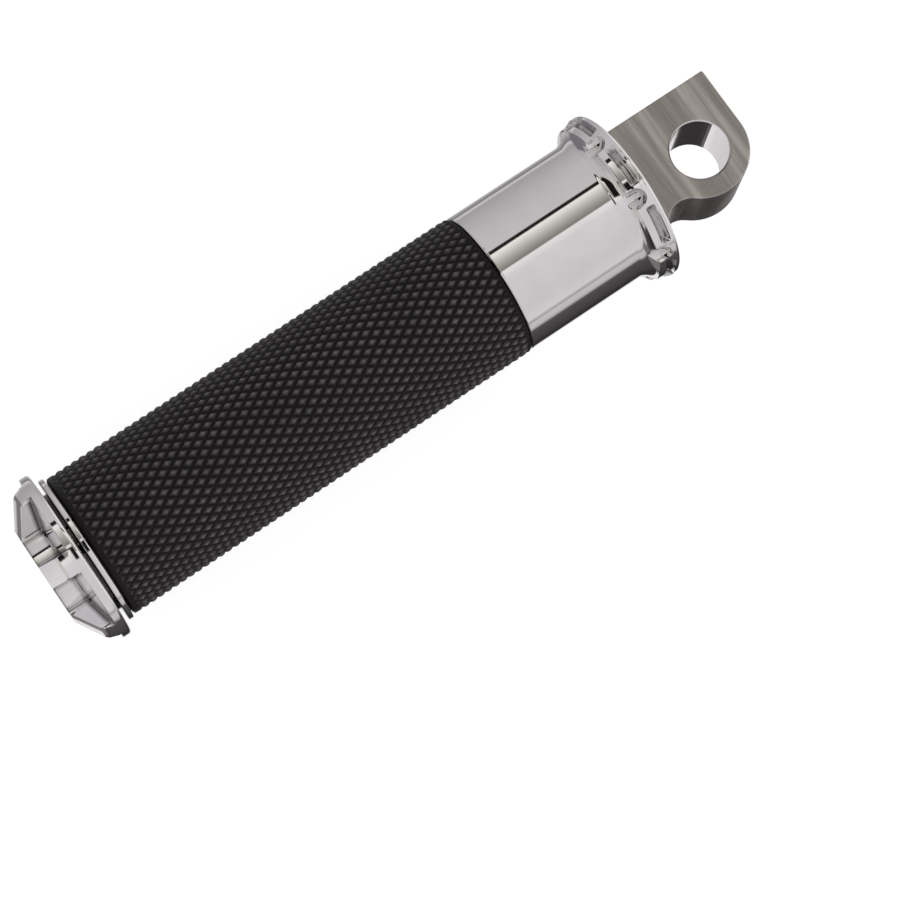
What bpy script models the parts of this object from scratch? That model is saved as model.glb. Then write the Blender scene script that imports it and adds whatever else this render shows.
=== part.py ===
"""Motorcycle foot peg: a steel mount tang bolted to a chromed body with a rubber grip and an end cap.

The peg's axis runs along X, with the tang towards +X and the outer end towards -X. Everything is
drawn about the peg's axis, then moved so that the origin is the centre of the pin hole. +Z is the
direction of the pin. Lengths are in metres.
"""

import math

import bmesh
import bpy

MM = 0.001
GAP = 0.3 * MM
STEPS = 64

# Mount tang: a flat tongue with a pin hole, square at one side and round at the other.
TANG_THICKNESS = 15.9 * MM
TANG_FLAT_Y = 11.8 * MM
TANG_END_X = 10.8 * MM
TANG_EDGE_BREAK = 0.35 * MM
PIN_HOLE_Y = -2.2 * MM
PIN_HOLE_R = 6.35 * MM
PIN_HOLE_CHAMFER = 0.45 * MM
TANG_ROUND_R = 10.8 * MM
RELIEF_R = 5.1 * MM
RELIEF_X = -10.3 * MM
SPIGOT_R = 7.0 * MM
SPIGOT_END_X = -30.4 * MM
TAPPED_R = 4.25 * MM
TAPPED_END_X = -12.8 * MM

# Body: flange, collar and the core that carries the grip, turned in one piece.
FLANGE_FACE_X = -16.3 * MM
FLANGE_R = 19.6 * MM
FLANGE_ROUND = 1.1 * MM
FLANGE_BACK_X = -18.3 * MM
LAND_HIGH_R = 19.0 * MM
LAND_LOW_R = 18.7 * MM
LAND_START_X = -19.4 * MM
LAND_END_X = -20.7 * MM
LAND_ROUND = 0.8 * MM
COLLAR_R = 16.3 * MM
COLLAR_FILLET = 3.2 * MM
COLLAR_START_X = -24.35 * MM
FILLET_TURN = 62.0
COLLAR_END_X = -52.1 * MM
COLLAR_BREAK = 0.35 * MM
CORE_R = 12.0 * MM
CORE_END_X = -151.7 * MM
CORE_BORE_R = 7.3 * MM
BOLT_SEAT_X = -36.0 * MM
BOLT_HOLE_R = 4.4 * MM

# Anti-turn pin between the tang and the flange, on the tang's flat side.
TURN_PIN_R = 1.5 * MM
TURN_PIN_Y = 9.4 * MM
TURN_PIN_START_X = -20.0 * MM
TURN_PIN_END_X = -12.3 * MM

# M8 socket-head bolt with its two washers, inside the core.
BOLT_R = 3.95 * MM
BOLT_HEAD_R = 6.5 * MM
BOLT_HEAD_LENGTH = 8.0 * MM
BOLT_HEAD_X = -40.2 * MM
BOLT_END_X = -15.2 * MM
BOLT_SOCKET_AF = 6.0 * MM
BOLT_SOCKET_DEPTH = 4.0 * MM
WASHER_BORE_R = 4.3 * MM
FLAT_WASHER_R = 6.9 * MM
FLAT_WASHER_X = (-37.7 * MM, -36.3 * MM)
LOCK_WASHER_R = 6.4 * MM
LOCK_WASHER_X = (-39.9 * MM, -38.0 * MM)
LOCK_WASHER_SLIT = 1.4 * MM

# Rubber grip and the ring that retains it.
GRIP_R = 16.55 * MM
GRIP_BORE_R = 12.3 * MM
GRIP_X = (-151.7 * MM, -52.4 * MM)
GRIP_ROUND = 0.6 * MM
RING_R = 17.0 * MM
RING_BORE_R = 7.3 * MM
RING_X = (-153.2 * MM, -152.0 * MM)
RING_ROUND = 0.35 * MM

# End cap: a rim, a bevelled front cut by pockets, a dished nose and a plain stub in the core.
CAP_BACK_X = -154.0 * MM
CAP_R = 19.35 * MM
CAP_TAPER_X = -156.7 * MM
CAP_RIM_END_R = 18.75 * MM
CAP_RIM_END_X = -158.5 * MM
CAP_SHOULDER_R = 18.2 * MM
CAP_SHOULDER_X = -159.1 * MM
CAP_NOSE_R = 11.5 * MM
CAP_NOSE_X = -162.6 * MM
CAP_DISH_R = 8.6 * MM
CAP_DISH_DEPTH = 0.6 * MM
CAP_BOSS_R = 14.0 * MM
CAP_BOSS_X = -153.5 * MM
CAP_STUB_R = 7.0 * MM
CAP_STUB_END_X = -140.0 * MM
CAP_SOCKET_AF = 8.0 * MM
CAP_SOCKET_DEPTH = 6.0 * MM

# Ball-nosed notches across the land, which open towards the collar.
NOTCH_COUNT = 8
NOTCH_ANGLE = math.radians(17.5)
NOTCH_R = 2.0 * MM
NOTCH_DEPTH_R = 17.2 * MM
NOTCH_NOSE_X = -18.3 * MM
NOTCH_OPEN_X = -26.0 * MM

# Parallel-sided ribs of the end cap. The floor between them slopes down towards the rim.
RIB_COUNT = 6
RIB_ANGLE = math.radians(13.5)
POCKET_WALL_R = 11.2 * MM
POCKET_HALF_WIDTH = 3.58 * MM
POCKET_CORNER = 1.2 * MM
POCKET_SPREAD = math.pi / RIB_COUNT
POCKET_OUTER_R = 24.0 * MM
POCKET_FLOOR_X = -157.85 * MM
POCKET_FLOOR_SLOPE = 0.20
POCKET_LENGTH = 8.0 * MM


def clear_scene():
    for obj in list(bpy.data.objects):
        bpy.data.objects.remove(obj, do_unlink=True)
    for collection in list(bpy.data.collections):
        bpy.data.collections.remove(collection)


def new_collection(name):
    collection = bpy.data.collections.new(name)
    bpy.context.scene.collection.children.link(collection)
    return collection


def new_material(name, colour, roughness, metallic):
    material = bpy.data.materials.new(name)
    material.use_nodes = True
    shader = material.node_tree.nodes["Principled BSDF"]
    shader.inputs["Base Color"].default_value = (*colour, 1.0)
    shader.inputs["Roughness"].default_value = roughness
    shader.inputs["Metallic"].default_value = metallic
    return material


def place(name, mesh, collection, material=None):
    obj = bpy.data.objects.new(name, mesh)
    collection.objects.link(obj)
    if material:
        mesh.materials.clear()
        mesh.materials.append(material)
    return obj


def as_cutter(obj):
    obj.hide_render = True
    obj.display_type = "WIRE"
    return obj


def arc(centre_x, centre_r, radius, start, end, count=5):
    """Points (radius, x) of an arc, whose angles run from the outward direction towards +X."""
    points = []
    for i in range(count + 1):
        angle = math.radians(start + (end - start) * i / count)
        points.append((centre_r + radius * math.cos(angle), centre_x + radius * math.sin(angle)))
    return points


def turned(name, outline, collection, material=None, steps=STEPS, along_x=True):
    """A turned solid from (radius, position) points, which run down the outer side from the top."""
    closed = outline[0][0] > 0 or outline[-1][0] > 0
    mesh = bpy.data.meshes.new(name)
    edges = [(i, i + 1) for i in range(len(outline) - 1)]
    if closed:
        edges.append((len(outline) - 1, 0))
    mesh.from_pydata([(r, 0.0, z) for r, z in outline], edges, [])
    obj = place(name, mesh, collection, material)
    if along_x:
        obj.rotation_euler = (0.0, math.radians(90), 0.0)
    screw = obj.modifiers.new("Turn", "SCREW")
    screw.axis = "Z"
    screw.angle = math.radians(360)
    screw.steps = steps
    screw.render_steps = steps
    screw.use_merge_vertices = True
    screw.merge_threshold = 0.00001
    screw.use_smooth_shade = True
    return obj


def cut(obj, cutter, operation="DIFFERENCE"):
    modifier = obj.modifiers.new(operation.title() + " " + cutter.name, "BOOLEAN")
    modifier.operation = operation
    modifier.solver = "EXACT"
    if isinstance(cutter, bpy.types.Collection):
        modifier.operand_type = "COLLECTION"
        modifier.collection = cutter
    else:
        modifier.object = cutter
    return modifier


def plate(name, outline, thickness, collection):
    """A flat solid from an outline in the XY plane, centred on it, as a mesh."""
    curve = bpy.data.curves.new(name, "CURVE")
    curve.dimensions = "2D"
    curve.fill_mode = "BOTH"
    curve.extrude = thickness / 2
    spline = curve.splines.new("POLY")
    spline.points.add(len(outline) - 1)
    for point, (x, y) in zip(spline.points, outline):
        point.co = (x, y, 0.0, 1.0)
    spline.use_cyclic_u = True
    drawn = bpy.data.objects.new(name + "_outline", curve)
    collection.objects.link(drawn)
    bpy.context.view_layer.update()
    graph = bpy.context.evaluated_depsgraph_get()
    mesh = bpy.data.meshes.new_from_object(drawn.evaluated_get(graph))
    bpy.data.objects.remove(drawn, do_unlink=True)
    shape = bmesh.new()
    shape.from_mesh(mesh)
    bmesh.ops.remove_doubles(shape, verts=shape.verts, dist=0.000001)
    flat = [edge for edge in shape.edges if edge.is_manifold and edge.calc_face_angle() < 0.001]
    bmesh.ops.dissolve_edges(shape, edges=flat, use_verts=False)
    bmesh.ops.recalc_face_normals(shape, faces=shape.faces)
    shape.to_mesh(mesh)
    shape.free()
    mesh.name = name
    return mesh


def rod(name, radius, start, end, collection, steps=32, y=0.0):
    """A plain cylinder along X."""
    bpy.ops.mesh.primitive_cylinder_add(
        vertices=steps,
        radius=radius,
        depth=abs(end - start),
        location=((start + end) / 2, y, 0.0),
        rotation=(0.0, math.radians(90), 0.0),
    )
    obj = bpy.context.object
    obj.name = name
    for other in list(obj.users_collection):
        other.objects.unlink(obj)
    collection.objects.link(obj)
    return obj


def hex_socket(name, across_flats, start, end, collection):
    return as_cutter(rod(name, across_flats / math.sqrt(3), start, end, collection, steps=6))


def pocket_outline():
    """Half of the pocket's outline on each side: a flat wall near the hub and sides that spread outwards."""
    corner = POCKET_CORNER
    spread = POCKET_SPREAD
    reach = POCKET_OUTER_R - POCKET_WALL_R
    mouth = POCKET_HALF_WIDTH + reach * math.tan(spread)
    half = []
    offset = corner * math.tan(math.pi / 4 - spread / 2)
    for i in range(5):
        angle = math.pi + (spread - math.pi / 2) * i / 4
        across = POCKET_HALF_WIDTH - offset - corner * math.sin(angle)
        half.append((POCKET_WALL_R + corner + corner * math.cos(angle), across))
    half.append((POCKET_OUTER_R, mouth))
    return half + [(radius, -across) for radius, across in reversed(half)]


def pocket_cutters(parent):
    """One cutter for each pocket of the end cap: it starts at the sloped floor and opens towards -X."""
    collection = bpy.data.collections.new("cap_pockets")
    parent.children.link(collection)
    mesh = plate("cap_pocket", pocket_outline(), POCKET_LENGTH, parent)
    # The plate lies in its own XY plane. Its top face becomes the pocket's sloped floor.
    for vertex in mesh.vertices:
        radius, across, along = vertex.co
        depth = along - POCKET_LENGTH / 2 + POCKET_FLOOR_X
        if along > 0:
            depth += (radius - POCKET_WALL_R) * POCKET_FLOOR_SLOPE
        vertex.co = (depth, -across, radius)
    pitch = 2 * math.pi / RIB_COUNT
    for i in range(RIB_COUNT):
        obj = as_cutter(place(f"cap_pocket_{i + 1}", mesh, collection))
        obj.rotation_euler = (RIB_ANGLE + pitch * (i + 0.5), 0.0, 0.0)
    return collection


def notch_cutters(parent):
    """Round-nosed rods that run along the land and cut its notches."""
    collection = bpy.data.collections.new("flange_notches")
    parent.children.link(collection)
    centre_r = NOTCH_DEPTH_R + NOTCH_R
    shape = [(0.0, NOTCH_NOSE_X)]
    shape += arc(NOTCH_NOSE_X - NOTCH_R, 0.0, NOTCH_R, 75, 0, 5)
    shape += [(NOTCH_R, NOTCH_OPEN_X), (0.0, NOTCH_OPEN_X)]
    for i in range(NOTCH_COUNT):
        angle = NOTCH_ANGLE + 2 * math.pi * i / NOTCH_COUNT
        notch = as_cutter(turned(f"flange_notch_{i + 1}", shape, collection, steps=24))
        notch.location = (0.0, -centre_r * math.sin(angle), centre_r * math.cos(angle))
    return collection


def smooth(obj, angle=30):
    obj.data.shade_smooth()
    obj.data.set_sharp_from_angle(angle=math.radians(angle))


def tang_outline():
    """Flat edge, square end corner, round end about the pin hole, relief arc, and root at the flange."""
    root_x = FLANGE_FACE_X + GAP
    points = [(root_x, TANG_FLAT_Y), (TANG_END_X, TANG_FLAT_Y)]
    drop = math.sqrt((TANG_ROUND_R + RELIEF_R) ** 2 - RELIEF_X**2)
    meet = math.atan2(-drop, RELIEF_X)
    start = 0.0
    count = 24
    for i in range(count + 1):
        angle = start + (meet - start) * i / count
        points.append((TANG_ROUND_R * math.cos(angle), PIN_HOLE_Y + TANG_ROUND_R * math.sin(angle)))
    relief_y = PIN_HOLE_Y - drop
    first = meet + math.pi
    last = math.pi
    count = 12
    for i in range(1, count + 1):
        angle = first + (last - first) * i / count
        points.append((RELIEF_X + RELIEF_R * math.cos(angle), relief_y + RELIEF_R * math.sin(angle)))
    points.append((root_x, relief_y))
    return points


def make_tang(collection, cutters, material):
    mesh = plate("mount_tang", tang_outline(), TANG_THICKNESS, collection)
    tang = place("mount_tang", mesh, collection, material)
    edge = tang.modifiers.new("Edge break", "BEVEL")
    edge.width = TANG_EDGE_BREAK
    edge.segments = 1
    edge.limit_method = "ANGLE"
    edge.angle_limit = math.radians(50)
    half = TANG_THICKNESS / 2
    past = half + 2 * MM
    wide = PIN_HOLE_R + PIN_HOLE_CHAMFER
    hole = [
        (0.0, past),
        (wide + 2 * MM, past),
        (PIN_HOLE_R, half - PIN_HOLE_CHAMFER),
        (PIN_HOLE_R, PIN_HOLE_CHAMFER - half),
        (wide + 2 * MM, -past),
        (0.0, -past),
    ]
    pin_hole = as_cutter(turned("pin_hole", hole, cutters, along_x=False))
    pin_hole.location = (0.0, PIN_HOLE_Y, 0.0)
    root = FLANGE_FACE_X + GAP
    spigot_shape = [
        (0.0, root + 2 * MM),
        (SPIGOT_R, root + 2 * MM),
        (SPIGOT_R, SPIGOT_END_X + 0.8 * MM),
        (SPIGOT_R - 0.8 * MM, SPIGOT_END_X),
        (0.0, SPIGOT_END_X),
    ]
    spigot = as_cutter(turned("tang_spigot", spigot_shape, cutters, steps=48))
    tapped_shape = [
        (0.0, TAPPED_END_X + 1.6 * MM),
        (TAPPED_R, TAPPED_END_X),
        (TAPPED_R, SPIGOT_END_X - 1 * MM),
        (0.0, SPIGOT_END_X - 1 * MM),
    ]
    tapped = as_cutter(turned("tang_tapped_hole", tapped_shape, cutters, steps=32))
    pin_socket = rod(
        "tang_turn_pin_hole",
        TURN_PIN_R + GAP,
        root - 1 * MM,
        TURN_PIN_END_X + GAP,
        cutters,
        steps=24,
        y=TURN_PIN_Y,
    )
    cut(tang, pin_hole)
    cut(tang, spigot, "UNION")
    cut(tang, tapped)
    cut(tang, as_cutter(pin_socket))
    return tang


def make_body(collection, cutters, material):
    face = FLANGE_FACE_X
    outline = [(SPIGOT_R + GAP, face)]
    outline += arc(face - FLANGE_ROUND, FLANGE_R - FLANGE_ROUND, FLANGE_ROUND, 90, 0)
    outline += [(FLANGE_R, FLANGE_BACK_X), (LAND_HIGH_R, LAND_START_X)]
    outline += arc(LAND_END_X, LAND_LOW_R - LAND_ROUND, LAND_ROUND, 0, -FILLET_TURN)
    outline += arc(COLLAR_START_X, COLLAR_R + COLLAR_FILLET, COLLAR_FILLET, 180 - FILLET_TURN, 180)
    outline += [
        (COLLAR_R, COLLAR_END_X + COLLAR_BREAK),
        (COLLAR_R - COLLAR_BREAK, COLLAR_END_X),
        (CORE_R, COLLAR_END_X),
        (CORE_R, CORE_END_X),
        (CORE_BORE_R, CORE_END_X),
        (CORE_BORE_R, BOLT_SEAT_X),
        (BOLT_HOLE_R, BOLT_SEAT_X),
        (BOLT_HOLE_R, SPIGOT_END_X - GAP),
        (SPIGOT_R + GAP, SPIGOT_END_X - GAP),
    ]
    body = turned("peg_body", outline, collection, material)
    pin_socket = rod(
        "flange_turn_pin_hole",
        TURN_PIN_R + GAP,
        TURN_PIN_START_X - GAP,
        face + 1 * MM,
        cutters,
        steps=24,
        y=TURN_PIN_Y,
    )
    cut(body, notch_cutters(cutters))
    cut(body, as_cutter(pin_socket))
    return body


def make_bolt(collection, cutters, material):
    top = BOLT_END_X
    head = BOLT_HEAD_X
    end = head - BOLT_HEAD_LENGTH
    outline = [
        (0.0, top),
        (BOLT_R - 0.9 * MM, top),
        (BOLT_R, top - 0.9 * MM),
        (BOLT_R, head),
        (BOLT_HEAD_R, head),
        (BOLT_HEAD_R, end + 0.5 * MM),
        (BOLT_HEAD_R - 0.5 * MM, end),
        (0.0, end),
    ]
    bolt = turned("centre_bolt", outline, collection, material, steps=32)
    cut(bolt, hex_socket("bolt_socket", BOLT_SOCKET_AF, end - MM, end + BOLT_SOCKET_DEPTH, cutters))
    return bolt


def make_washer(name, bore_r, outer_r, ends, collection, material):
    low, high = ends
    outline = [(bore_r, high), (outer_r, high), (outer_r, low), (bore_r, low)]
    return turned(name, outline, collection, material, steps=32)


def make_lock_washer(collection, cutters, material):
    washer = make_washer("lock_washer", WASHER_BORE_R, LOCK_WASHER_R, LOCK_WASHER_X, collection, material)
    middle = sum(LOCK_WASHER_X) / 2
    bpy.ops.mesh.primitive_cube_add(size=1, location=(middle, 0.0, LOCK_WASHER_R))
    slit = bpy.context.object
    slit.name = "lock_washer_slit"
    slit.scale = (4 * MM, LOCK_WASHER_SLIT, 6 * MM)
    slit.rotation_euler = (0.0, 0.0, math.radians(25))
    for other in list(slit.users_collection):
        other.objects.unlink(slit)
    cutters.objects.link(slit)
    cut(washer, as_cutter(slit))
    return washer


def make_grip(collection, material):
    low, high = GRIP_X
    outline = [(GRIP_BORE_R, high)]
    outline += arc(high - GRIP_ROUND, GRIP_R - GRIP_ROUND, GRIP_ROUND, 90, 0, 4)
    outline += arc(low + GRIP_ROUND, GRIP_R - GRIP_ROUND, GRIP_ROUND, 0, -90, 4)
    outline.append((GRIP_BORE_R, low))
    return turned("grip_sleeve", outline, collection, material)


def make_ring(collection, material):
    low, high = RING_X
    outline = [(RING_BORE_R, high)]
    outline += arc(high - RING_ROUND, RING_R - RING_ROUND, RING_ROUND, 90, 0, 3)
    outline += arc(low + RING_ROUND, RING_R - RING_ROUND, RING_ROUND, 0, -90, 3)
    outline.append((RING_BORE_R, low))
    return turned("retaining_ring", outline, collection, material)


def make_cap(collection, cutters, material):
    dish = CAP_NOSE_X + CAP_DISH_DEPTH
    outline = [
        (0.0, CAP_STUB_END_X),
        (CAP_STUB_R - 0.8 * MM, CAP_STUB_END_X),
        (CAP_STUB_R, CAP_STUB_END_X - 0.8 * MM),
        (CAP_STUB_R, CAP_BOSS_X),
        (CAP_BOSS_R, CAP_BOSS_X),
        (CAP_BOSS_R, CAP_BACK_X),
    ]
    outline += arc(CAP_BACK_X - 0.4 * MM, CAP_R - 0.4 * MM, 0.4 * MM, 90, 0, 3)
    outline += [
        (CAP_R, CAP_TAPER_X),
        (CAP_RIM_END_R, CAP_RIM_END_X),
        (CAP_SHOULDER_R, CAP_SHOULDER_X),
        (CAP_NOSE_R, CAP_NOSE_X),
        (CAP_DISH_R + 0.4 * MM, CAP_NOSE_X),
        (CAP_DISH_R, dish),
        (0.0, dish),
    ]
    cap = turned("end_cap", outline, collection, material)
    cut(cap, pocket_cutters(cutters))
    cut(cap, hex_socket("cap_socket", CAP_SOCKET_AF, dish - MM, dish + CAP_SOCKET_DEPTH, cutters))
    return cap


def move_to_pin_hole(collections):
    """Moves everything drawn so far so that the centre of the pin hole is the origin."""
    for collection in collections:
        for obj in collection.all_objects:
            obj.location.y -= PIN_HOLE_Y


def main():
    clear_scene()
    parts = new_collection("foot_peg")
    cutters = new_collection("cutters")
    brushed = new_material("brushed_steel", (0.44, 0.43, 0.41), 0.35, 1.0)
    chrome = new_material("chrome", (0.80, 0.79, 0.80), 0.06, 1.0)
    rubber = new_material("black_rubber", (0.012, 0.012, 0.013), 0.55, 0.0)
    black_steel = new_material("black_steel", (0.05, 0.05, 0.05), 0.4, 1.0)
    zinc = new_material("zinc_steel", (0.55, 0.55, 0.56), 0.35, 1.0)

    tang = make_tang(parts, cutters, brushed)
    body = make_body(parts, cutters, chrome)
    bolt = make_bolt(parts, cutters, black_steel)
    flat = make_washer("flat_washer", WASHER_BORE_R, FLAT_WASHER_R, FLAT_WASHER_X, parts, zinc)
    lock = make_lock_washer(parts, cutters, zinc)
    pin = rod("turn_pin", TURN_PIN_R, TURN_PIN_START_X, TURN_PIN_END_X, parts, 24, TURN_PIN_Y)
    pin.data.materials.append(zinc)
    grip = make_grip(parts, rubber)
    ring = make_ring(parts, chrome)
    cap = make_cap(parts, cutters, chrome)
    for obj in (tang, body, bolt, flat, lock, pin, grip, ring, cap):
        smooth(obj)
    move_to_pin_hole([parts, cutters])


main()
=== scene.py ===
"""The looks of the foot peg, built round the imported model. Lengths are in metres.

The peg's axis runs along X. Turned pieces are made as a grid: one column of points for each angle
about the axis, which follows the piece's profile from one end to the other. Angles about the axis
start at +Z and turn towards -Y.
"""

import math

import bmesh
import bpy
import numpy as np
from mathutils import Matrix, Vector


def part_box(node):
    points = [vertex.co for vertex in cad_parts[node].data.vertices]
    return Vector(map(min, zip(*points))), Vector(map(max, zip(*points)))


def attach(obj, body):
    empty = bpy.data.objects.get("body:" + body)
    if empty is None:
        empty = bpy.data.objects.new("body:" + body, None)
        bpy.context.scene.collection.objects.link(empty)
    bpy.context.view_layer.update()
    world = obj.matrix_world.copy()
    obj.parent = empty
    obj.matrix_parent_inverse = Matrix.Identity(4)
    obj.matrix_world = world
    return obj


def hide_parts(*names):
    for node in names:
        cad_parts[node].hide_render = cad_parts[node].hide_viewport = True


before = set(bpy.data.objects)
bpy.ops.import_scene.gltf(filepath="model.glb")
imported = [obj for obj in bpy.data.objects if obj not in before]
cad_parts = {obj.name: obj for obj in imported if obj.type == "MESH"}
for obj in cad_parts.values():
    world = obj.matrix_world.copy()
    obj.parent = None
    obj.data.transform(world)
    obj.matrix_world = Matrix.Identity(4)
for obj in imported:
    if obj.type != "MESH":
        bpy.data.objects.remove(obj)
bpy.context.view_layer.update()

MM = 0.001
FULL_TURN = 2 * math.pi
grip_low, grip_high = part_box("grip_sleeve")
body_low, body_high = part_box("peg_body")
ring_low, ring_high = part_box("retaining_ring")
cap_low, cap_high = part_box("end_cap")
AXIS_Y = (grip_low.y + grip_high.y) / 2
AXIS_Z = (grip_low.z + grip_high.z) / 2
GRIP_R = (grip_high.z - grip_low.z) / 2
FLANGE_R = (body_high.z - body_low.z) / 2
RING_R = (ring_high.z - ring_low.z) / 2
CAP_R = (cap_high.z - cap_low.z) / 2
FACE_X = body_high.x
BORE_R = 7.3 * MM
PIN_HOLE_R = 6.35 * MM


# ------------------------------------------------------------------ turned pieces

# A path's corner is rounded if it turns by an angle between these, in radians.
LEAST_TURN = 0.02
MOST_TURN = 3.1
# A rounding takes up at most this share of each stretch beside it.
MOST_SHARE = 0.48
# How far from a rounding a guard point stands, where the stretch leaves room for it.
GUARD = 0.05 * MM
SHORTEST = 1e-8
MERGE = 2e-6
SLIVER = 1e-6


def clamped(value):
    return max(0.0, min(1.0, value))


def guard_reach(length, reach):
    """How far from its corner a guard point stands: past the rounding, short of the stretch's middle."""
    return reach + min(GUARD, 0.9 * (0.5 * length - reach))


def rounded(points, per_corner):
    """Rounds the corners of a path of (x, r, radius) points, each with the same number of points.

    A guard point just before and just after each rounding keeps the straight stretches flat in the light.
    """
    out = []
    last = len(points) - 1
    for i, (x, r, radius) in enumerate(points):
        here = np.array((x, r))
        if i in (0, last):
            out.append(here)
            continue
        to_last = np.array(points[i - 1][:2]) - here
        to_next = np.array(points[i + 1][:2]) - here
        a = float(np.hypot(*to_last))
        b = float(np.hypot(*to_next))
        turn = 0.0
        if radius > 0 and a > SHORTEST and b > SHORTEST:
            cosine = float(to_last @ to_next) / (a * b)
            turn = math.pi - math.acos(max(-1.0, min(1.0, cosine)))
        if turn < LEAST_TURN or turn > MOST_TURN:
            out += [here] * (per_corner + 2)
            continue
        to_last = to_last / a
        to_next = to_next / b
        reach = min(radius * math.tan(turn / 2), MOST_SHARE * a, MOST_SHARE * b)
        true_radius = reach / math.tan(turn / 2)
        middle = to_last + to_next
        middle = middle / np.hypot(*middle)
        centre = here + middle * (true_radius / math.cos(turn / 2))
        start = here + to_last * reach - centre
        end = here + to_next * reach - centre
        out.append(here + to_last * guard_reach(a, reach))
        for j in range(per_corner):
            t = j / (per_corner - 1)
            share_start = math.sin((1 - t) * turn) / math.sin(turn)
            share_end = math.sin(t * turn) / math.sin(turn)
            out.append(centre + start * share_start + end * share_end)
        out.append(here + to_next * guard_reach(b, reach))
    return out


def refined(path, longest, x_from, x_to, least_r):
    """Adds points to a path's outer stretches between two positions along the axis."""
    out = [path[0]]
    for a, b in zip(path[:-1], path[1:]):
        pieces = 1
        inside = min(a[0], b[0]) >= x_from and max(a[0], b[0]) <= x_to
        if inside and min(a[1], b[1]) > least_r:
            pieces = max(1, math.ceil(float(np.hypot(*(b - a))) / longest))
        out += [a + (b - a) * j / pieces for j in range(1, pieces + 1)]
    return out


def even_angles(count):
    return [FULL_TURN * i / count for i in range(count)]


def evenly(start, end, step):
    """Values from start to end, about one step apart."""
    return np.linspace(start, end, int(round((end - start) / step)) + 1)


def close_angles(centres, half_width, fine, coarse):
    """Angles round the circle, close together within half_width of each centre."""
    centres = np.sort(np.mod(centres, FULL_TURN))
    out = []
    for centre, following in zip(centres, [*centres[1:], centres[0] + FULL_TURN]):
        out += list(evenly(centre - half_width, centre + half_width, fine))
        out += list(evenly(centre + half_width, following - half_width, coarse)[1:-1])
    return out


def grid_piece(name, columns, angles):
    """A closed mesh from one column of (x, r) points for each angle about the axis."""
    columns = np.asarray(columns, float)
    count, rows, _ = columns.shape
    x = columns[:, :, 0]
    r = columns[:, :, 1]
    a = np.asarray(angles)[:, None]
    points = np.stack([x, AXIS_Y - r * np.sin(a), AXIS_Z + r * np.cos(a)], -1).reshape(-1, 3)
    here = np.arange(count * rows).reshape(count, rows)
    beside = np.roll(here, -1, 0)
    faces = np.stack([here, beside, np.roll(beside, -1, 1), np.roll(here, -1, 1)], -1).reshape(-1, 4)
    mesh = bpy.data.meshes.new(name)
    mesh.from_pydata(points.tolist(), [], faces.tolist())
    shape = bmesh.new()
    shape.from_mesh(mesh)
    bmesh.ops.remove_doubles(shape, verts=shape.verts, dist=MERGE)
    bmesh.ops.dissolve_degenerate(shape, edges=shape.edges, dist=SLIVER)
    bmesh.ops.recalc_face_normals(shape, faces=shape.faces)
    shape.to_mesh(mesh)
    shape.free()
    obj = bpy.data.objects.new(name, mesh)
    bpy.context.scene.collection.objects.link(obj)
    return obj


def ride(piece, material, node, sharp=35):
    """Shades a piece, smooth up to an angle in degrees, and lets it stand for a node of the CAD model."""
    piece.data.materials.append(material)
    piece.data.shade_smooth()
    piece.data.set_sharp_from_angle(angle=math.radians(sharp))
    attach(piece, "root")
    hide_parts(node)


# ------------------------------------------------------------------ materials


class Nodes:
    """Shorthand for a node tree. A value is a number, a colour, a vector or another node's output."""

    def __init__(self, tree):
        self.tree = tree

    def feed(self, socket, value):
        if isinstance(value, bpy.types.NodeSocket):
            self.tree.links.new(value, socket)
        elif socket.type == "RGBA":
            socket.default_value = (*value, 1.0)
        else:
            socket.default_value = value

    def add(self, kind, inputs, **settings):
        """Adds a node and gives its outputs. The inputs are named or numbered."""
        node = self.tree.nodes.new("ShaderNode" + kind)
        for name, value in settings.items():
            setattr(node, name, value)
        for name, value in inputs.items():
            self.feed(node.inputs[name], value)
        return node.outputs

    def math(self, operation, *values):
        return self.add("Math", dict(enumerate(values)), operation=operation)["Value"]

    def vector_math(self, operation, output, *values):
        return self.add("VectorMath", dict(enumerate(values)), operation=operation)[output]

    def range(self, source, low, high, from_low=0.3, from_high=0.7):
        limits = {"From Min": from_low, "From Max": from_high, "To Min": low, "To Max": high}
        return self.add("MapRange", {"Value": source, **limits})["Result"]

    def inside(self, source, low, high, fade):
        """1 where the source lies between two values and 0 beyond them, with soft edges."""
        rise = self.range(source, 0.0, 1.0, low - fade, low + fade)
        fall = self.range(source, 0.0, 1.0, high + fade, high - fade)
        return self.math("MULTIPLY", rise, fall)

    def mix(self, factor, a, b):
        """The colour a where the factor is 0, and b where it is 1."""
        return self.add("Mix", {"Factor": factor, 6: a, 7: b}, data_type="RGBA")[2]

    def ramp(self, source, stops):
        """A colour looked up in (place, colour) stops, which are given in order."""
        node = self.tree.nodes.new("ShaderNodeValToRGB")
        elements = node.color_ramp.elements
        for element, (place, colour) in ((elements[0], stops[0]), (elements[1], stops[-1])):
            element.position = place
            element.color = (*colour, 1.0)
        for place, colour in stops[1:-1]:
            elements.new(place).color = (*colour, 1.0)
        self.feed(node.inputs["Fac"], source)
        return node.outputs["Color"]


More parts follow.
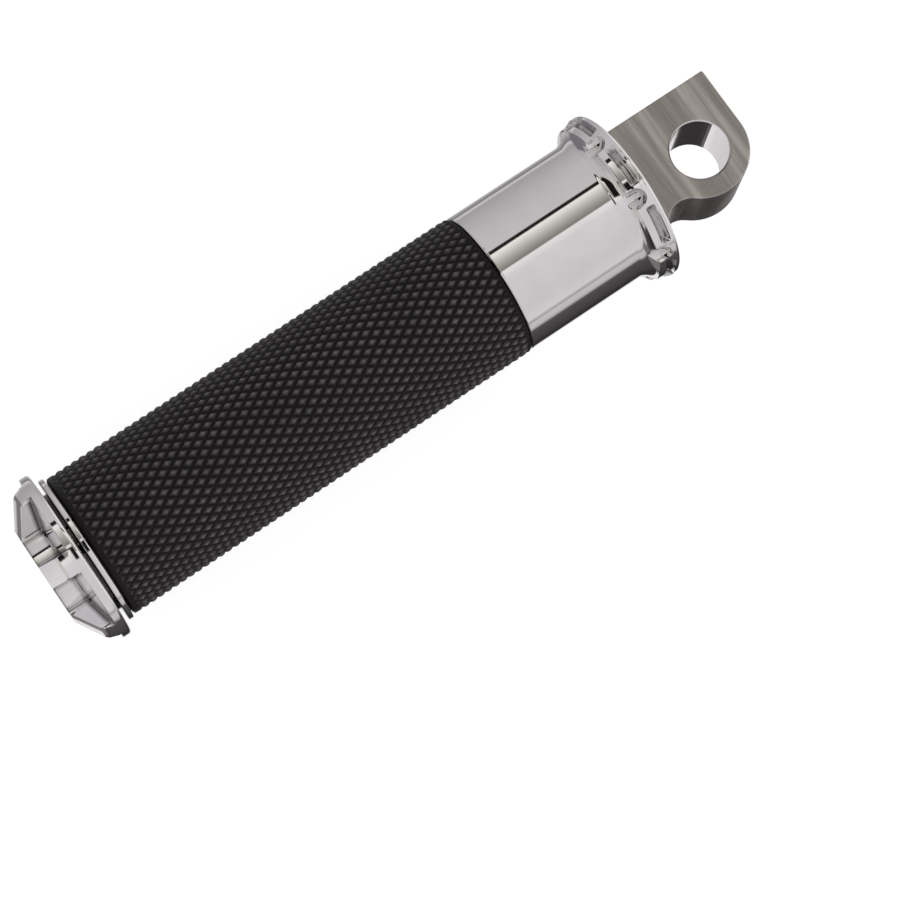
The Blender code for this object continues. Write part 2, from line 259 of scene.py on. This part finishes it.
class Surface(Nodes):
    """A material's nodes. Its textures are placed in the object's own space."""

    def __init__(self, name):
        self.material = bpy.data.materials.new(name)
        self.material.use_nodes = True
        super().__init__(self.material.node_tree)
        self.position = self.add("TexCoord", {})["Object"]

    def shade(self, **values):
        """Feeds the shader's inputs, with _ for each space in a name, and gives the material."""
        shader = self.tree.nodes["Principled BSDF"]
        for name, value in values.items():
            self.feed(shader.inputs[name.replace("_", " ")], value)
        return self.material

    def stretched(self, scale):
        return self.add("Mapping", {"Vector": self.position, "Scale": scale})["Vector"]

    def noise(self, scale, detail, roughness=0.55, vector=None):
        inputs = {"Scale": scale, "Detail": detail, "Roughness": roughness}
        return self.add("TexNoise", {"Vector": vector or self.position, **inputs})["Fac"]

    def bump(self, height, distance):
        return self.add("Bump", {"Height": height, "Distance": distance})["Normal"]


def chrome_material():
    """Polished plate: a cool tint, faint haze in patches, hairline scratches along the turning marks, and
    painted shade darkening its crevices.
    """
    s = Surface("polished_chrome")
    haze = s.noise(140.0, 5.0)
    turning = s.noise(1.0, 3.0, vector=s.stretched((3000.0, 60.0, 60.0)))
    plate = s.ramp(haze, [(0.3, (0.82, 0.81, 0.825)), (0.7, (0.88, 0.87, 0.88))])
    # Painted shade: crevices, which see little of the room, are darkened almost to black by ambient
    # occlusion.
    openness = s.add("AmbientOcclusion", {"Distance": 1.5 * MM}, samples=6)["AO"]
    out_of_crevice_shade = s.range(openness, 0.0, 1.0, 0.62, 0.92)
    return s.shade(
        Metallic=1.0,
        Base_Color=s.mix(out_of_crevice_shade, (0.035, 0.033, 0.034), plate),
        Roughness=s.math("ADD", s.range(haze, 0.036, 0.058), s.range(turning, -0.002, 0.004)),
        Normal=s.bump(turning, 0.00008 * MM),
    )


def steel_material():
    """Steel ground across the tang: long streaks along Y, lighter and darker bands, and a smooth pin hole."""
    s = Surface("brushed_steel_face")
    fine = s.noise(1.0, 6.0, 0.65, s.stretched((5200.0, 90.0, 500.0)))
    broad = s.noise(1.0, 3.0, 0.5, s.stretched((420.0, 22.0, 60.0)))
    blotch = s.noise(220.0, 4.0)
    dark, middle, light = (0.27, 0.252, 0.238), (0.375, 0.352, 0.334), (0.68, 0.647, 0.624)
    bands = s.ramp(broad, [(0.32, dark), (0.5, middle), (0.68, light)])
    streaks = s.ramp(fine, [(0.3, (0.235, 0.22, 0.208)), (0.7, (0.67, 0.642, 0.618))])
    ground = s.mix(0.38, bands, streaks)
    ground_rough = s.math("ADD", s.range(fine, 0.34, 0.46), s.range(blotch, -0.03, 0.05))
    # The pin hole is reamed smooth and bright. It is centred on the part's origin.
    across = s.vector_math("MULTIPLY", "Vector", s.position, (1.0, 1.0, 0.0))
    reach = s.vector_math("LENGTH", "Value", across)
    outside = s.range(reach, 0.0, 1.0, PIN_HOLE_R + 0.05 * MM, PIN_HOLE_R + 0.30 * MM)
    hole_rough = s.range(outside, 0.13, 0.0, 0.0, 1.0)
    return s.shade(
        Metallic=1.0,
        Base_Color=s.mix(outside, (0.90, 0.88, 0.875), ground),
        Roughness=s.math("ADD", s.math("MULTIPLY", ground_rough, outside), hole_rough),
        Normal=s.bump(s.math("MULTIPLY", fine, outside), 0.014 * MM),
    )


def rubber_material():
    """Moulded black rubber: mould grain, a painted highlight that lightens the tips, and painted shade that
    darkens the grooves, which also have less specular than the tips.
    """
    s = Surface("moulded_rubber")
    grain = s.noise(2600.0, 5.0, 0.6)
    patch = s.noise(90.0, 3.0)
    height = s.add("Attribute", {}, attribute_name="knurl_height")["Fac"]
    # Painted highlight and painted shade: the colour gets lighter the higher a point stands, dark in the
    # grooves and light on the tips, varied in random patches.
    painted_light_share = s.math("MULTIPLY", height, s.range(patch, 0.85, 1.1))
    groove, side = (0.0095, 0.0080, 0.0085), (0.021, 0.0190, 0.0196)
    shoulder, tip = (0.054, 0.0495, 0.0510), (0.135, 0.124, 0.128)
    return s.shade(
        Base_Color=s.ramp(painted_light_share, [(0.0, groove), (0.35, side), (0.7, shoulder), (1.0, tip)]),
        Specular_IOR_Level=s.range(height, 0.12, 0.60, 0.15, 0.8),
        Roughness=s.math("ADD", s.range(grain, 0.36, 0.50), s.range(patch, -0.04, 0.06)),
        Normal=s.bump(grain, 0.03 * MM),
    )


def hardware_material(name, dark, light, roughness):
    """Plated or blackened fastener steel with fine mottling and wear."""
    s = Surface(name)
    mottle = s.noise(700.0, 6.0, 0.6)
    return s.shade(
        Metallic=1.0,
        Base_Color=s.ramp(mottle, [(0.3, dark), (0.7, light)]),
        Roughness=s.range(mottle, roughness - 0.06, roughness + 0.08),
        Normal=s.bump(s.noise(3000.0, 4.0), 0.008 * MM),
    )


def floor_material():
    """A pale floor that glows, so that it stays almost white."""
    s = Surface("pale_floor")
    pale = (0.55, 0.55, 0.55)
    shade = tuple(c * 0.985 for c in pale)
    return s.shade(
        Base_Color=s.ramp(s.noise(6.0, 2.0), [(0.3, shade), (0.7, pale)]),
        Roughness=0.9,
        Emission_Color=(1.0, 1.0, 1.0),
        Emission_Strength=0.80,
    )


chrome = chrome_material()
steel = steel_material()
rubber = rubber_material()
zinc = hardware_material("zinc_plate", (0.42, 0.42, 0.43), (0.60, 0.60, 0.62), 0.34)
black_oxide = hardware_material("black_oxide_steel", (0.025, 0.025, 0.027), (0.060, 0.060, 0.064), 0.42)


# ------------------------------------------------------------------ knurled rubber sleeve

GRIP_BORE_R = 12.3 * MM
GRIP_ROUND = 0.55 * MM
KNURL_COUNT = 44
KNURL_LENGTH = 3.70 * MM
KNURL_DEPTH = 0.72 * MM
# Steps between points in each half of a diamond, along and around the sleeve.
KNURL_STEPS = 4
FIRST_ROW = 0.02 * MM
# The height of the knurl, from a diamond's middle at 0 to the grooves beside it at 1.
KNURL_SECTION = [(0.0, 1.0), (0.25, 0.86), (0.5, 0.50), (0.75, 0.17), (1.0, 0.0)]
# The plain border at each end, beside the ring and beside the collar.
RING_BORDER = 1.3 * MM
COLLAR_BORDER = 0.5 * MM
BORDER_FADE = 0.5 * MM
BORDER_DEPTH = 0.12 * MM


def knurl_height(a, b):
    """Height from 0 to 1 of the knurl: round-tipped diamonds with a groove along each side.

    a and b are places along and around the sleeve, each counted in half-diamonds.
    """
    along = np.abs(np.mod(a, 2.0) - 1.0)
    around = np.abs(np.mod(b, 2.0) - 1.0)
    away = np.minimum(along + around, 2.0 - along - around)
    return np.interp(away, *zip(*KNURL_SECTION))


def knurled_share(x, least):
    """1 along the knurl, falling to the least value on the plain border at each end."""
    past_ring = np.clip((x - grip_low.x - RING_BORDER) / BORDER_FADE, least, 1.0)
    past_collar = np.clip((grip_high.x - x - COLLAR_BORDER) / BORDER_FADE, least, 1.0)
    return past_ring * past_collar


def mark_height(sleeve):
    """Stores how far each point stands up from the grooves, which the rubber's painted highlight and painted
    shade follow.
    """
    mesh = sleeve.data
    points = np.empty(len(mesh.vertices) * 3)
    mesh.vertices.foreach_get("co", points)
    points = points.reshape(-1, 3)
    reach = np.hypot(points[:, 1] - AXIS_Y, points[:, 2] - AXIS_Z)
    stands = np.clip((reach - (GRIP_R - KNURL_DEPTH)) / KNURL_DEPTH, 0.0, 1.0)
    stands *= knurled_share(points[:, 0], 0.1)
    stored = mesh.attributes.new("knurl_height", "FLOAT", "POINT")
    stored.data.foreach_set("value", stands.astype(np.float32))


def make_grip():
    low, high = grip_low.x, grip_high.x
    step = KNURL_LENGTH / 2 / KNURL_STEPS
    row = np.arange(math.ceil((high - low) / step) + 1)
    x = np.clip(high - FIRST_ROW - step * row, low, high)
    angles = even_angles(KNURL_COUNT * 2 * KNURL_STEPS)
    column = np.arange(len(angles))[:, None]
    r = GRIP_R - KNURL_DEPTH * (1.0 - knurl_height(row / KNURL_STEPS, column / KNURL_STEPS))
    knurled = knurled_share(x, 0.0)
    r = r * knurled + (GRIP_R - BORDER_DEPTH) * (1.0 - knurled)
    # Both ends roll over into flat end faces.
    for from_end in (x - low, high - x):
        d = np.clip(from_end / GRIP_ROUND, 0.0, 1.0)
        r = r - (1.0 - np.sqrt(1.0 - (1.0 - d) ** 2)) * GRIP_ROUND * 0.9
    outer = np.stack([np.broadcast_to(x, r.shape), r], -1)
    bore = np.broadcast_to([(low, GRIP_BORE_R), (high, GRIP_BORE_R)], (len(angles), 2, 2))
    sleeve = grid_piece("knurled_sleeve", np.concatenate([outer, bore], 1), angles)
    mark_height(sleeve)
    return sleeve


ride(make_grip(), rubber, "grip_sleeve", sharp=75)


# ------------------------------------------------------------------ body: flange, collar and core

RIM_END = FACE_X - 1.85 * MM
LAND_HIGH_R = 19.0 * MM
LAND_LOW_R = 18.75 * MM
LAND_START = FACE_X - 3.10 * MM
LAND_END = FACE_X - 4.85 * MM
COVE_R = 3.2 * MM
COVE_START = FACE_X - 8.05 * MM
COVE_TURN = math.radians(60)
COVE_STEPS = 16
COLLAR_R = 16.3 * MM
COLLAR_START = COVE_START - 0.1 * MM
COLLAR_END = grip_high.x + 0.03 * MM
# The edge between land and cove, just beyond the end of the cove's arc.
LIP_X = COVE_START + COVE_R * 0.873
LIP_R = COLLAR_R + COVE_R * 0.515
CORE_R = 12.0 * MM
BOLT_HOLE_R = 4.4 * MM
BOLT_SEAT_X = -36.0 * MM
TANG_BORE_END_X = -30.7 * MM
# The flange's notches are as a ball-nosed cutter that runs along the peg would leave them.
NOTCH_COUNT = 8
NOTCH_PITCH = FULL_TURN / NOTCH_COUNT
NOTCH_ANGLE = math.radians(17.5)
NOTCH_R = 2.05 * MM
NOTCH_BOTTOM = 17.0 * MM
NOTCH_NOSE = FACE_X - 1.9 * MM
NOTCH_BLEND = 0.30 * MM
# Notches and grooves move only the points outside this radius and between these places.
CUT_LEAST_R = 15 * MM
CUT_FROM = FACE_X - 9 * MM
CUT_TO = FACE_X - 0.9 * MM
FINE_FROM = FACE_X - 8.6 * MM
FINE_LENGTH = 0.10 * MM
# A shallow groove behind the rim, between one notch and the next, as places past the face and
# radii, both in millimetres.
GROOVE = [(-3.5, 19.1), (-3.2, 18.7), (-2.9, 18.42), (-2.5, 18.3), (-2.1, 18.42), (-1.75, 18.8)]
GROOVE += [(-1.45, 19.35), (-1.3, 19.7)]
GROOVE_HALF = math.radians(14.5)
GROOVE_FADE = math.radians(2.0)
GROOVE_BLEND = 0.12 * MM
GROOVE_END_BLEND = 0.05 * MM
NO_GROOVE_R = 1.0


def softer_min(a, b, blend):
    """The smaller of two heights, with a rounded crease."""
    h = np.clip(0.5 + 0.5 * (b - a) / blend, 0.0, 1.0)
    return b * (1 - h) + a * h - blend * h * (1 - h)


def body_profile():
    flange = [
        (FACE_X, BORE_R, 0.0),
        (FACE_X, FLANGE_R, 1.15 * MM),
        (RIM_END, FLANGE_R, 0.45 * MM),
        (LAND_START, LAND_HIGH_R, 0.60 * MM),
        (LAND_END, LAND_LOW_R, 0.45 * MM),
        (LIP_X, LIP_R, 0.0),
    ]
    cove = []
    for i in range(COVE_STEPS + 1):
        turn = COVE_TURN * (1 - i / COVE_STEPS)
        at = (COVE_START + COVE_R * math.sin(turn), COLLAR_R + COVE_R * (1 - math.cos(turn)))
        cove.append(np.array(at))
    collar_and_core = [
        (COLLAR_START, COLLAR_R, 0.0),
        (COLLAR_END, COLLAR_R, 0.60 * MM),
        (COLLAR_END, CORE_R, 0.0),
        (body_low.x, CORE_R, 0.0),
        (body_low.x, BORE_R, 0.0),
        (BOLT_SEAT_X, BORE_R, 0.0),
        (BOLT_SEAT_X, BOLT_HOLE_R, 0.0),
        (TANG_BORE_END_X, BOLT_HOLE_R, 0.0),
        (TANG_BORE_END_X, BORE_R, 0.0),
    ]
    return rounded(flange, per_corner=9) + cove + rounded(collar_and_core, per_corner=5)


def notched(x, r, off):
    """The radii with the notches cut. off is the angle from the nearest notch's middle."""
    across = r * np.sin(off)
    past = np.clip(x - (NOTCH_NOSE - NOTCH_R), 0.0, None)
    left = NOTCH_R**2 - across**2 - past**2
    # Outside the cutter its height carries on steeply upwards, so that the soft crease fades out.
    cutter = NOTCH_BOTTOM + NOTCH_R - np.sign(left) * np.sqrt(np.abs(left))
    return softer_min(r, cutter, NOTCH_BLEND)


def grooved(x, r, off):
    """The radii with the groove behind the rim cut, centred halfway between two notches."""
    groove_x, groove_r = np.array(GROOVE).T * MM
    groove = np.interp(x, FACE_X + groove_x, groove_r, NO_GROOVE_R, NO_GROOVE_R)
    from_middle = NOTCH_PITCH / 2 - np.abs(off)
    share = np.clip((GROOVE_HALF - from_middle) / GROOVE_FADE, 0.0, 1.0)
    share = share * share * (3 - 2 * share)
    return r - share * (r - softer_min(r, groove, GROOVE_BLEND))


def make_body():
    path = np.array(refined(body_profile(), FINE_LENGTH, FINE_FROM, CUT_TO, CUT_LEAST_R))
    centres = [NOTCH_ANGLE + NOTCH_PITCH * i for i in range(NOTCH_COUNT)]
    angles = close_angles(
        centres, half_width=math.radians(9), fine=math.radians(0.4), coarse=math.radians(1.5)
    )
    columns = np.broadcast_to(path, (len(angles), *path.shape)).copy()
    x = columns[:, :, 0]
    r = columns[:, :, 1]
    off = np.mod(np.array(angles) - NOTCH_ANGLE + NOTCH_PITCH / 2, NOTCH_PITCH) - NOTCH_PITCH / 2
    off = off[:, None]
    notch = notched(x, r, off)
    both = softer_min(notch, grooved(x, r, off), GROOVE_END_BLEND)
    cut = (r > CUT_LEAST_R) & (x < CUT_TO) & (x > CUT_FROM)
    columns[:, :, 1] = np.where(cut, np.minimum(np.minimum(notch, r), both), r)
    return grid_piece("chromed_body", columns, angles)


ride(make_body(), chrome, "peg_body", sharp=40)


# ------------------------------------------------------------------ ring and end cap

RING_ROUND = 0.25 * MM
# A low step on the ring, towards the sleeve.
RING_STEP_R = 15.6 * MM
RING_STEP_X = ring_high.x + 0.25 * MM


def make_ring():
    profile = [
        (RING_STEP_X, BORE_R, 0.0),
        (RING_STEP_X, RING_STEP_R, 0.0),
        (ring_high.x, RING_STEP_R, 0.0),
        (ring_high.x, RING_R, RING_ROUND),
        (ring_low.x, RING_R, RING_ROUND),
        (ring_low.x, BORE_R, 0.0),
    ]
    path = np.array(rounded(profile, per_corner=8))
    angles = even_angles(256)
    return grid_piece("chrome_ring", np.broadcast_to(path, (len(angles), *path.shape)), angles)


ride(make_ring(), chrome, "retaining_ring")

RIB_COUNT = 6
RIB_PITCH = FULL_TURN / RIB_COUNT
RIB_ANGLE = math.radians(13.5)
RIB_HALF = 2.5 * MM
HUB_R = 11.2 * MM
HUB_CORNER = 1.5 * MM
NOSE_X = cap_low.x
NOSE_R = 11.5 * MM
SHOULDER_R = 18.2 * MM
TAPER_R = 18.75 * MM
# The cap's front, as radii and how far past the nose each one lies.
FRONT = [(NOSE_R, 0.0), (SHOULDER_R, 3.5 * MM), (TAPER_R, 4.1 * MM), (CAP_R, 5.9 * MM)]
FLOOR_X = NOSE_X + 4.75 * MM
FLOOR_SLOPE = 0.20
POCKET_FADE = 0.8 * MM
RIM_BACK_X = NOSE_X + 8.6 * MM
BOSS_X = NOSE_X + 9.38 * MM
BOSS_R = 14.0 * MM
STUB_R = 7.0 * MM
DISH_X = NOSE_X + 0.6 * MM
DISH_R = 9.0 * MM
DISH_FLOOR_R = 8.5 * MM
SOCKET_SIDES = 6
SOCKET_HALF = 4.0 * MM
SOCKET_BREAK = 0.25 * MM
SOCKET_END_X = NOSE_X + 6.6 * MM


def front_x(r):
    radii, depths = zip(*FRONT)
    return NOSE_X + float(np.interp(r, radii, depths))


def pocket_reach(off):
    """The radius at which the pocket starts, for an angle measured from the pocket's middle."""
    to_rib = RIB_PITCH / 2 - abs(off)
    # A rib's side is parallel to the rib's middle.
    side = RIB_HALF / max(math.sin(to_rib), 1e-4)
    # The larger of the hub and the rib, with a rounded corner.
    h = clamped(0.5 + 0.5 * (side - HUB_R) / HUB_CORNER)
    return min(CAP_R, HUB_R * (1 - h) + side * h + HUB_CORNER * h * (1 - h))


def cap_column(angle, off):
    """The cap's profile at an angle. off is the angle from the middle of the pocket there."""
    start = pocket_reach(off)
    top = front_x(start)
    # The pocket's depth, from 0 to 1, which fades out where the rib's side meets the rim.
    depth = clamped((CAP_R - start) / POCKET_FADE)
    rim_end = top + (FLOOR_X + (CAP_R - HUB_R) * FLOOR_SLOPE - top) * depth
    floor_in = top + (FLOOR_X + (start - HUB_R) * FLOOR_SLOPE - top) * depth
    # The front's own corners move inwards where the pocket starts inside them.
    taper_r = min(TAPER_R, NOSE_R + (start - NOSE_R) * 0.95)
    shoulder_r = min(SHOULDER_R, NOSE_R + (start - NOSE_R) * 0.86)
    side_turn = FULL_TURN / SOCKET_SIDES
    socket_r = SOCKET_HALF / math.cos(math.fmod(angle, side_turn) - side_turn / 2)
    points = [
        (cap_high.x, 0.0, 0.0),
        (cap_high.x, STUB_R, 0.6 * MM),
        (BOSS_X, STUB_R, 0.0),
        (BOSS_X, BOSS_R, 0.1 * MM),
        (RIM_BACK_X, BOSS_R, 0.0),
        (RIM_BACK_X, CAP_R, 0.80 * MM),
        (rim_end, CAP_R, 0.25 * MM * depth),
        (floor_in, start, 0.45 * MM * depth),
        (top, start, 0.38 * MM * depth),
        (front_x(taper_r), taper_r, 0.25 * MM),
        (front_x(shoulder_r), shoulder_r, 0.45 * MM),
        (NOSE_X, NOSE_R, 0.70 * MM),
        (NOSE_X, DISH_R, 0.3 * MM),
        (DISH_X, DISH_FLOOR_R, 0.3 * MM),
        (DISH_X, socket_r + SOCKET_BREAK, 0.0),
        (DISH_X + SOCKET_BREAK, socket_r, 0.0),
        (SOCKET_END_X, socket_r, 0.0),
        (SOCKET_END_X, 0.0, 0.0),
    ]
    return rounded(points, per_corner=6)


def make_cap():
    ribs = [RIB_ANGLE + RIB_PITCH * i for i in range(RIB_COUNT)]
    angles = close_angles(
        ribs, half_width=RIB_PITCH * 0.40, fine=math.radians(0.35), coarse=math.radians(0.6)
    )
    offs = np.mod(np.array(angles) - RIB_ANGLE, RIB_PITCH) - RIB_PITCH / 2
    columns = [cap_column(angle, off) for angle, off in zip(angles, offs)]
    return grid_piece("chromed_cap", columns, angles)


ride(make_cap(), chrome, "end_cap", sharp=40)


# ------------------------------------------------------------------ CAD nodes that stay

KEPT_NODES = {
    "mount_tang": steel,
    "centre_bolt": black_oxide,
    "flat_washer": zinc,
    "lock_washer": zinc,
    "turn_pin": zinc,
}
for node, material in KEPT_NODES.items():
    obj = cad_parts[node]
    for material_slot in obj.material_slots:
        material_slot.material = material
    obj.data.shade_smooth()
    obj.data.set_sharp_from_angle(angle=math.radians(30))


# ------------------------------------------------------------------ floor, light and camera

FLOOR_SIZE = 6.0
FLOOR_GAP = 0.1 * MM

bpy.ops.mesh.primitive_plane_add(size=FLOOR_SIZE, location=(0.0, 0.0, body_low.z - FLOOR_GAP))
floor = bpy.context.object
floor.name = "studio_floor"
floor.data.materials.append(floor_material())
floor.visible_glossy = False

# The studio is a ring of light and dark strips that run parallel to the peg: each one's angle in
# degrees about X, from the camera's direction towards -Y, and its colour.
CAMERA_TURN = 11.7
STRIPS = [
    (-168, (0.64, 0.62, 0.63)),
    (-160, (0.45, 0.44, 0.45)),
    (-150, (0.32, 0.31, 0.32)),
    (-145, (0.22, 0.21, 0.22)),
    (-141, (0.30, 0.29, 0.30)),
    (-137, (0.66, 0.64, 0.65)),
    (-134, (0.62, 0.60, 0.61)),
    (-128, (0.40, 0.385, 0.395)),
    (-104, (0.48, 0.46, 0.47)),
    (-72, (0.565, 0.545, 0.555)),
    (-41, (0.60, 0.58, 0.58)),
    (-40, (0.012, 0.011, 0.010)),
    (-35.5, (0.012, 0.011, 0.010)),
    (-34.5, (0.96, 0.93, 0.87)),
    (-24, (0.62, 0.605, 0.555)),
    (-16, (0.42, 0.405, 0.365)),
    (-6, (0.22, 0.205, 0.19)),
    (-4.5, (0.90, 0.865, 0.85)),
    (6, (0.73, 0.70, 0.71)),
    (60, (0.67, 0.64, 0.65)),
    (84, (0.72, 0.695, 0.705)),
    (89, (0.38, 0.37, 0.37)),
    (93, (0.62, 0.60, 0.61)),
    (102, (0.56, 0.54, 0.55)),
    (108, (0.09, 0.083, 0.086)),
    (136, (0.058, 0.053, 0.055)),
    (146, (0.035, 0.032, 0.034)),
    (159, (0.035, 0.032, 0.034)),
    (161, (0.96, 0.94, 0.945)),
    (172, (0.96, 0.94, 0.945)),
]
# Where the ring closes, straight down.
SEAM_COLOUR = (0.80, 0.78, 0.79)
# How many degrees further round the strips stand straight out to the side, above the floor.
STRIP_LEAN = 11.0
# Black cards: two angles and two places along X between which each one stands, and their soft edges.
CARDS = [(-44, -5, -0.93, -0.40), (-13, 4, -0.12, 0.06)]
CARD_TURN_FADE = 0.003
CARD_REACH_FADE = 0.02
CARD_COLOUR = (0.010, 0.009, 0.009)
# Parts of the room, by how far a direction points along X or Z: from, to and soft edge. No
# direction points further than 1, so a limit of 2 is none.
SIDEWAYS_X = (-0.20, 0.10, 0.08)
UPWARDS_Z = (0.0, 2.0, 0.1)
DOWNWARDS_Z = (-2.0, -0.12, 0.06)
BEYOND_CAP_X = (-0.68, -0.40, 0.03)
CAP_WALL_X = (-2.0, -0.93, 0.012)
TANG_WALL_X = (0.70, 2.0, 0.08)
BEYOND_CAP_COLOUR = (0.20, 0.19, 0.20)
CAP_WALL_COLOUR = (0.62, 0.60, 0.56)
TANG_WALL_COLOUR = (0.86, 0.84, 0.84)
ROOM_COLOUR = (0.97, 0.97, 0.97)


def turn_share(degrees):
    """Where an angle from the camera's direction lies on the ring of strips, from 0 to 1."""
    return clamped((degrees + CAMERA_TURN) / 360 + 0.5)


def make_world():
    world = bpy.data.worlds.new("studio")
    bpy.context.scene.world = world
    world.use_nodes = True
    n = Nodes(world.node_tree)
    direction = n.add("SeparateXYZ", {"Vector": n.add("TexCoord", {})["Generated"]})
    x, y, z = direction["X"], direction["Y"], direction["Z"]
    turn = n.math("ARCTAN2", n.math("MULTIPLY", y, -1.0), z)
    share = n.math("MULTIPLY_ADD", turn, 1 / FULL_TURN, 0.5)
    sideways = n.math("MULTIPLY", n.inside(x, *SIDEWAYS_X), n.inside(z, *UPWARDS_Z))
    leaning = n.math("MULTIPLY_ADD", sideways, STRIP_LEAN / 360, share)
    stops = [(turn_share(degrees), colour) for degrees, colour in STRIPS]
    light = n.ramp(leaning, [(0.0, SEAM_COLOUR), *stops, (1.0, SEAM_COLOUR)])
    carded = 0.0
    for degrees_from, degrees_to, x_from, x_to in CARDS:
        around = n.inside(share, turn_share(degrees_from), turn_share(degrees_to), CARD_TURN_FADE)
        along = n.inside(x, x_from, x_to, CARD_REACH_FADE)
        carded = n.math("MULTIPLY_ADD", around, along, carded)
    light = n.mix(carded, light, CARD_COLOUR)
    # Grey under the outer end, where the floor falls away into the room.
    beyond = n.math("MULTIPLY", n.inside(z, *DOWNWARDS_Z), n.inside(x, *BEYOND_CAP_X))
    light = n.mix(beyond, light, BEYOND_CAP_COLOUR)
    # A pale wall at each end, brightest at the tang.
    light = n.mix(n.inside(x, *CAP_WALL_X), light, CAP_WALL_COLOUR)
    light = n.mix(n.inside(x, *TANG_WALL_X), light, TANG_WALL_COLOUR)
    # The room itself looks plain and pale.
    seen = n.mix(n.add("LightPath", {})["Is Camera Ray"], light, ROOM_COLOUR)
    n.feed(n.tree.nodes["Background"].inputs["Color"], seen)


make_world()

CAMERA_PLACE = (-0.162207, AXIS_Y - 0.108708, 0.525216)
CAMERA_TILT = (12.4817, -2.2352, -34.6949)

camera_data = bpy.data.cameras.new("camera")
camera_data.sensor_width = 36.0
camera_data.lens = 103.836
camera_data.clip_start = 0.01
camera = bpy.data.objects.new("camera", camera_data)
camera.location = CAMERA_PLACE
camera.rotation_euler = [math.radians(a) for a in CAMERA_TILT]
bpy.context.scene.collection.objects.link(camera)
bpy.context.scene.camera = camera

bpy.context.scene.view_settings.view_transform = "Standard"

bpy.context.view_layer.update()
